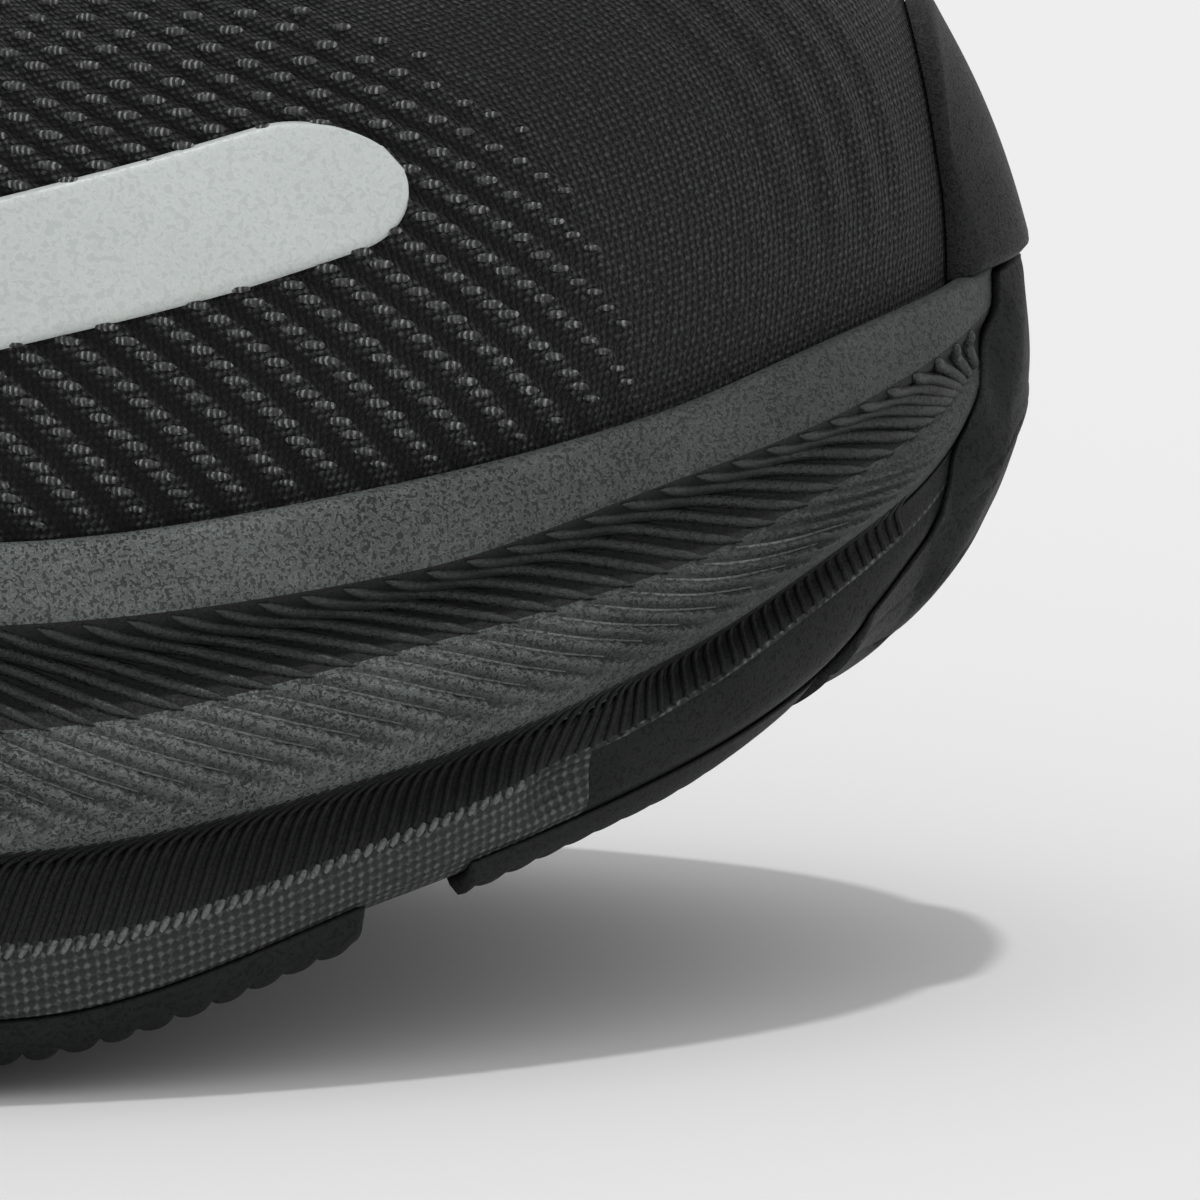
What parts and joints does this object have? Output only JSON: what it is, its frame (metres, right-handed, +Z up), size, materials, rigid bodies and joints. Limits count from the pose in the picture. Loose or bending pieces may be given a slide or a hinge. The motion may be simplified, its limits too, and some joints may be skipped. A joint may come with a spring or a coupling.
{
  "type": "running shoe",
  "caption": "Right-foot lace-up running shoe with a thick ribbed foam midsole, knitted upper, toe bumper, padded collar and lugged rubber outsole.",
  "frame": {"origin": "on the ground under the middle of the bounding box", "axes": "+X from heel to toe, +Z up, outer (lateral) side of the foot at -Y"},
  "size_m": [0.301, 0.1076, 0.1295],
  "materials": {
    "foam": "matte, finely grained",
    "outsole_rubber": "satin, moulded",
    "knit": "engineered knit",
    "lace": "round braid",
    "overlay": "smooth welded film",
    "webbing": "woven",
    "reflective": "glass-bead reflective",
    "lining": "brushed mesh",
    "padding": "open-cell foam",
    "board": "pressed fibre",
    "plastic": "moulded"
  },
  "bodies": {
    "shoe": {"aglet_1": "plastic", "aglet_2": "plastic", "collar_foam_heel": "padding", "collar_foam_lateral": "padding", "collar_foam_medial": "padding", "collar_lining": "lining", "eyelet_lateral_1": "plastic", "eyelet_lateral_2": "plastic", "eyelet_lateral_3": "plastic", "eyelet_lateral_4": "plastic", "eyelet_lateral_5": "plastic", "eyelet_lateral_6": "plastic", "eyelet_medial_1": "plastic", "eyelet_medial_2": "plastic", "eyelet_medial_3": "plastic", "eyelet_medial_4": "plastic", "eyelet_medial_5": "plastic", "eyelet_medial_6": "plastic", "eyestay_lateral": "overlay", "eyestay_medial": "overlay", "heel_clip": "overlay", "heel_counter": "plastic", "heel_patch": "reflective", "lace": "lace", "midsole_base": "foam", "midsole_carrier": "foam", "outsole_ball_lateral": "outsole_rubber", "outsole_ball_medial": "outsole_rubber", "outsole_front_lateral": "outsole_rubber", "outsole_front_medial": "outsole_rubber", "outsole_heel_lateral": "outsole_rubber", "outsole_heel_medial": "outsole_rubber", "outsole_heel_rear": "outsole_rubber", "outsole_toe": "outsole_rubber", "shank_plate": "plastic", "strip_lateral": "reflective", "strip_medial": "reflective", "strobel_board": "board", "toe_bumper": "overlay", "toe_puff": "plastic", "upper_knit": "knit"},
    "sockliner": {"sockliner_foam": "padding", "sockliner_cover": "lining"},
    "tongue": {"tongue_cover": "knit", "tongue_foam": "padding", "tongue_backing": "lining"},
    "pull_loop": {"pull_loop": "webbing"}
  },
  "joints": [
    {"name": "sockliner_lift", "type": "hinge", "parent": "shoe", "child": "sockliner", "pos_m": [0.1413, 0.0072, 0.048], "axis": [0, 1, 0], "range_deg": [0, 3]},
    {"name": "tongue_sink", "type": "hinge", "parent": "shoe", "child": "tongue", "pos_m": [0.0725, 0, 0.0727], "axis": [0, 1, 0], "range_deg": [-10, 0], "stiffness_Nm_per_rad": 0.5},
    {"name": "pull_loop_swing", "type": "hinge", "parent": "shoe", "child": "pull_loop", "pos_m": [-0.144, 0, 0.10525], "axis": [0, 1, 0], "range_deg": [-60, 0], "stiffness_Nm_per_rad": 0.01}
  ]
}
